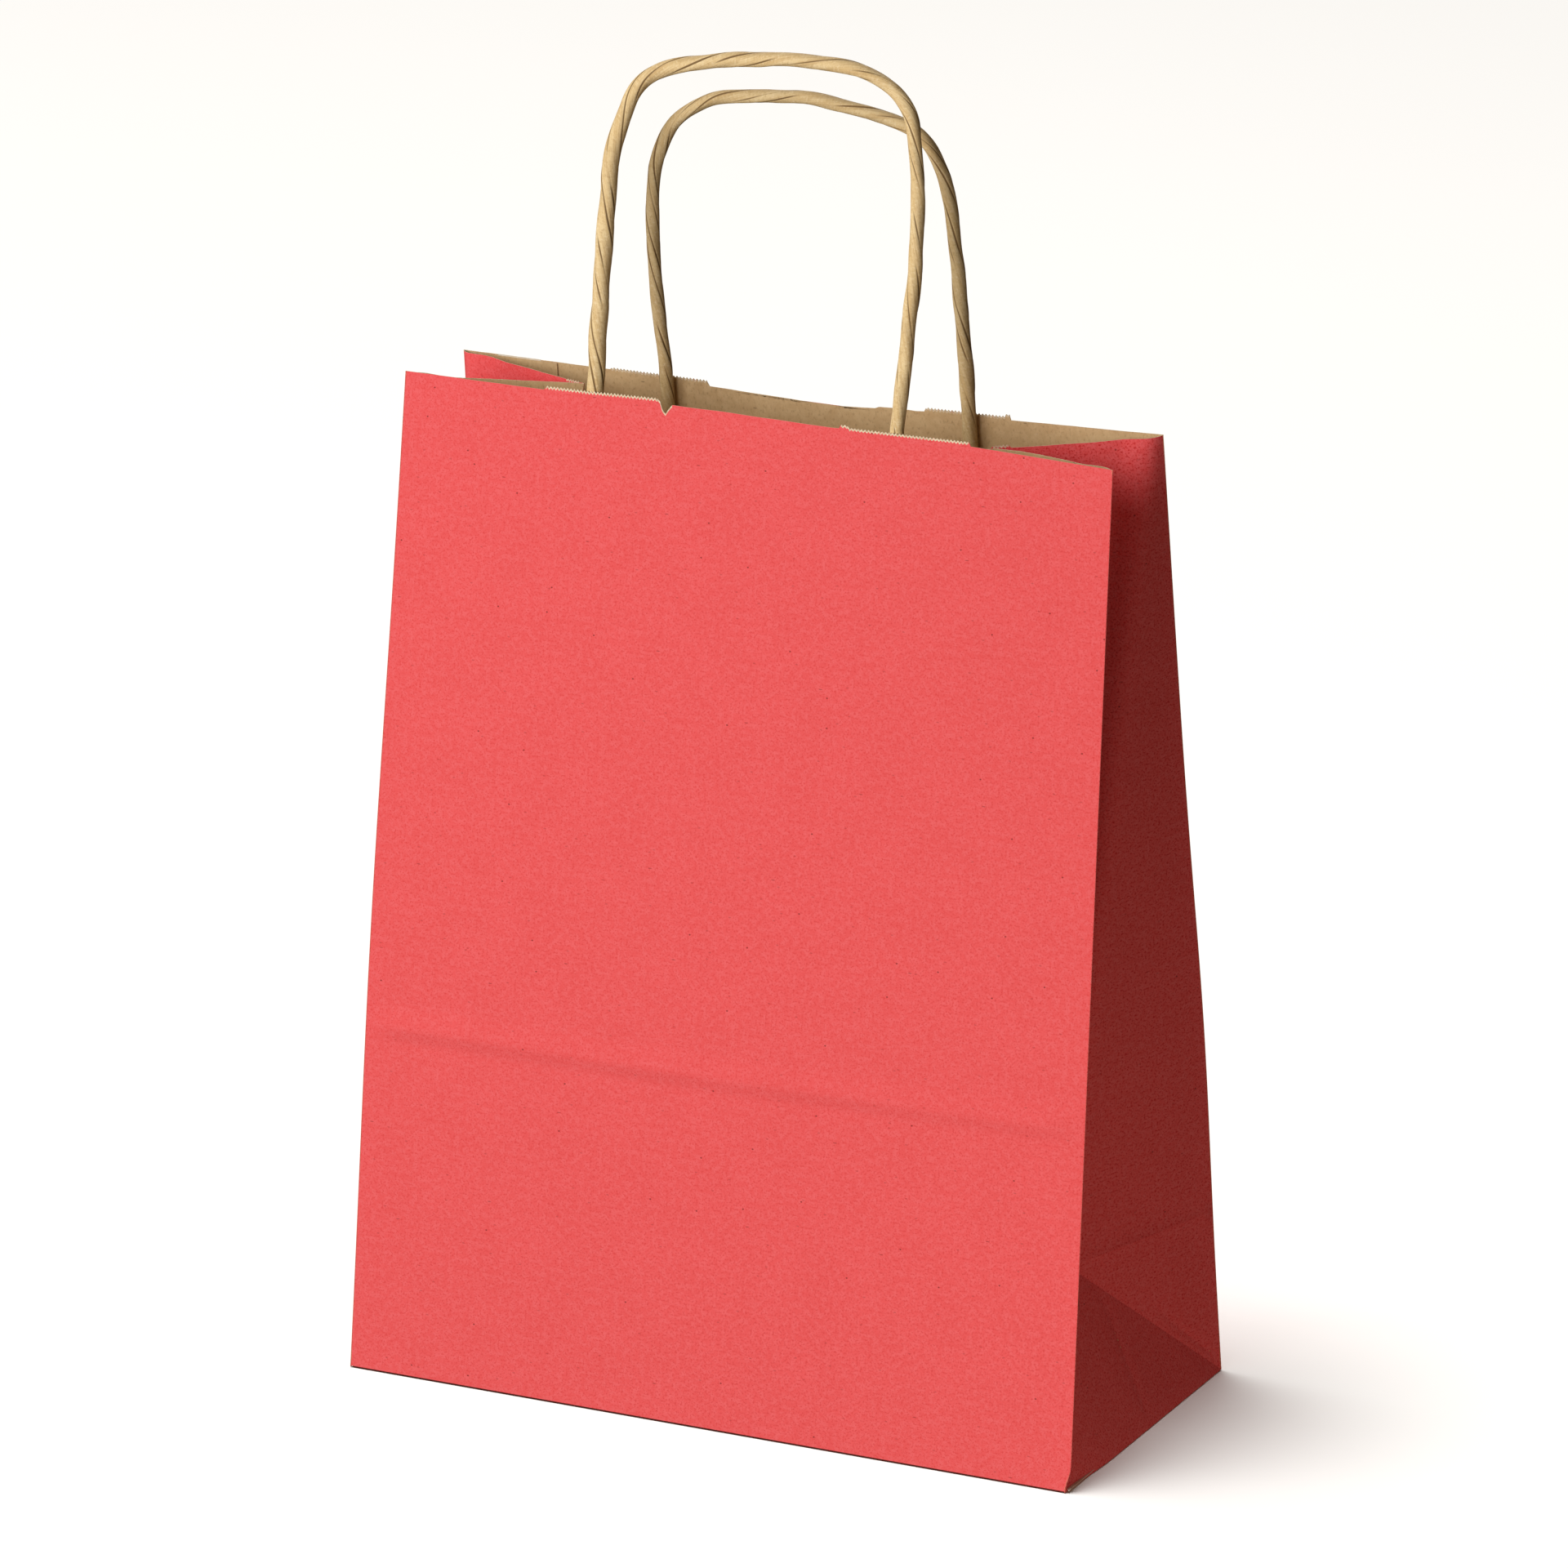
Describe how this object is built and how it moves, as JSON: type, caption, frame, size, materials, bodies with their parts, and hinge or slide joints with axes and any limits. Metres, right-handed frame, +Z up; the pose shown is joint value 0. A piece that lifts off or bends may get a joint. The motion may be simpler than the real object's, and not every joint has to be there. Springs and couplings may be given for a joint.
{
  "type": "gift bag",
  "caption": "Coral paper gift bag with a block bottom, V-folded side gussets and twisted kraft-cord handles; the mouth opens and the handles fold outwards.",
  "frame": {"origin": "middle of the rectangular bottom, on the surface the bag stands on", "axes": "+Z up to the handles, +X across the wide panels, +Y from the front panel to the back panel"},
  "size_m": [0.24, 0.1098, 0.4178],
  "materials": {
    "red_paper": "matt coral-red printed kraft paper",
    "kraft_paper": "unprinted brown kraft paper",
    "twisted_paper_cord": "tightly twisted tan kraft paper cord",
    "dry_paste": "thin film of dry starch paste"
  },
  "bodies": {
    "base": {"bottom_back_flap": "red_paper", "bottom_flap_paste": "dry_paste", "bottom_front_flap": "red_paper", "bottom_tuck_paste": "dry_paste", "right_bottom_tuck": "kraft_paper", "left_bottom_tuck": "kraft_paper"},
    "front_wall": {"front_panel": "red_paper", "front_patch_paste": "dry_paste", "front_patch_backing": "kraft_paper", "front_patch_cover": "kraft_paper", "front_cord_ends": "twisted_paper_cord"},
    "back_wall": {"back_panel": "red_paper", "seam_lap": "kraft_paper", "seam_paste": "dry_paste", "back_patch_paste": "dry_paste", "back_patch_backing": "kraft_paper", "back_patch_cover": "kraft_paper", "back_cord_ends": "twisted_paper_cord"},
    "right_front_lower": {"right_gusset_front_lower": "red_paper"},
    "right_front_upper": {"right_gusset_front_upper": "red_paper"},
    "right_back_lower": {"right_gusset_back_lower": "red_paper"},
    "right_back_upper": {"right_gusset_back_upper": "red_paper"},
    "right_base_fold": {"right_base_triangle": "red_paper"},
    "left_front_lower": {"left_gusset_front_lower": "red_paper"},
    "left_front_upper": {"left_gusset_front_upper": "red_paper"},
    "left_back_lower": {"left_gusset_back_lower": "red_paper"},
    "left_back_upper": {"left_gusset_back_upper": "red_paper"},
    "left_base_fold": {"left_base_triangle": "red_paper"},
    "front_handle": {"front_handle_cord": "twisted_paper_cord"},
    "back_handle": {"back_handle_cord": "twisted_paper_cord"}
  },
  "joints": [
    {"name": "mouth_front", "type": "hinge", "parent": "base", "child": "front_wall", "pos_m": [0, -0.055, 0], "axis": [1, 0, 0], "range_deg": [0, 6.85]},
    {"name": "mouth_back", "type": "hinge", "parent": "base", "child": "back_wall", "pos_m": [0, 0.055, 0], "axis": [-1, 0, 0], "range_deg": [0, 6.9]},
    {"name": "right_front_side_crease", "type": "hinge", "parent": "front_wall", "child": "right_front_lower", "pos_m": [0.12, -0.055, 0], "axis": [0, -0.1194, -0.9929], "range_deg": [0, 27.6]},
    {"name": "right_front_diagonal_crease", "type": "hinge", "parent": "right_front_lower", "child": "right_front_upper", "pos_m": [0.12, -0.018, 0.30778], "axis": [-0.0974, 0.069, -0.9929], "range_deg": [0, 44]},
    {"name": "right_back_side_crease", "type": "hinge", "parent": "back_wall", "child": "right_back_lower", "pos_m": [0.12, 0.055, 0], "axis": [0, -0.1194, 0.9929], "range_deg": [0, 27.6]},
    {"name": "right_back_diagonal_crease", "type": "hinge", "parent": "right_back_lower", "child": "right_back_upper", "pos_m": [0.12, 0.018, 0.30778], "axis": [0.0974, 0.069, 0.9929], "range_deg": [0, 44]},
    {"name": "right_base_crease", "type": "hinge", "parent": "base", "child": "right_base_fold", "pos_m": [0.12, 0, 0], "axis": [0, 1, 0], "range_deg": [0, 27.6]},
    {"name": "left_front_side_crease", "type": "hinge", "parent": "front_wall", "child": "left_front_lower", "pos_m": [-0.12, -0.055, 0], "axis": [0, 0.1194, 0.9929], "range_deg": [0, 27.6]},
    {"name": "left_front_diagonal_crease", "type": "hinge", "parent": "left_front_lower", "child": "left_front_upper", "pos_m": [-0.12, -0.018, 0.30778], "axis": [-0.0974, -0.069, 0.9929], "range_deg": [0, 44]},
    {"name": "left_back_side_crease", "type": "hinge", "parent": "back_wall", "child": "left_back_lower", "pos_m": [-0.12, 0.055, 0], "axis": [0, 0.1194, -0.9929], "range_deg": [0, 27.6]},
    {"name": "left_back_diagonal_crease", "type": "hinge", "parent": "left_back_lower", "child": "left_back_upper", "pos_m": [-0.12, 0.018, 0.30778], "axis": [0.0974, -0.069, -0.9929], "range_deg": [0, 44]},
    {"name": "left_base_crease", "type": "hinge", "parent": "base", "child": "left_base_fold", "pos_m": [-0.12, 0, 0], "axis": [0, -1, 0], "range_deg": [0, 27.6]},
    {"name": "front_handle_bend", "type": "hinge", "parent": "front_wall", "child": "front_handle", "pos_m": [0, -0.01476, 0.31193], "axis": [1, 0, 0], "range_deg": [0, 85]},
    {"name": "back_handle_bend", "type": "hinge", "parent": "back_wall", "child": "back_handle", "pos_m": [0, 0.01476, 0.31193], "axis": [-1, 0, 0], "range_deg": [0, 85]}
  ],
  "couplings": [
    {"joint": "mouth_back", "follows": "mouth_front", "ratio": 1},
    {"joint": "right_front_side_crease", "follows": "mouth_front", "ratio": 4.0122},
    {"joint": "right_front_diagonal_crease", "follows": "mouth_front", "ratio": 6.4093},
    {"joint": "right_back_side_crease", "follows": "mouth_front", "ratio": 4.0122},
    {"joint": "right_back_diagonal_crease", "follows": "mouth_front", "ratio": 6.4093},
    {"joint": "right_base_crease", "follows": "mouth_front", "ratio": 4.0122},
    {"joint": "left_front_side_crease", "follows": "mouth_front", "ratio": 4.0122},
    {"joint": "left_front_diagonal_crease", "follows": "mouth_front", "ratio": 6.4093},
    {"joint": "left_back_side_crease", "follows": "mouth_front", "ratio": 4.0122},
    {"joint": "left_back_diagonal_crease", "follows": "mouth_front", "ratio": 6.4093},
    {"joint": "left_base_crease", "follows": "mouth_front", "ratio": 4.0122}
  ]
}
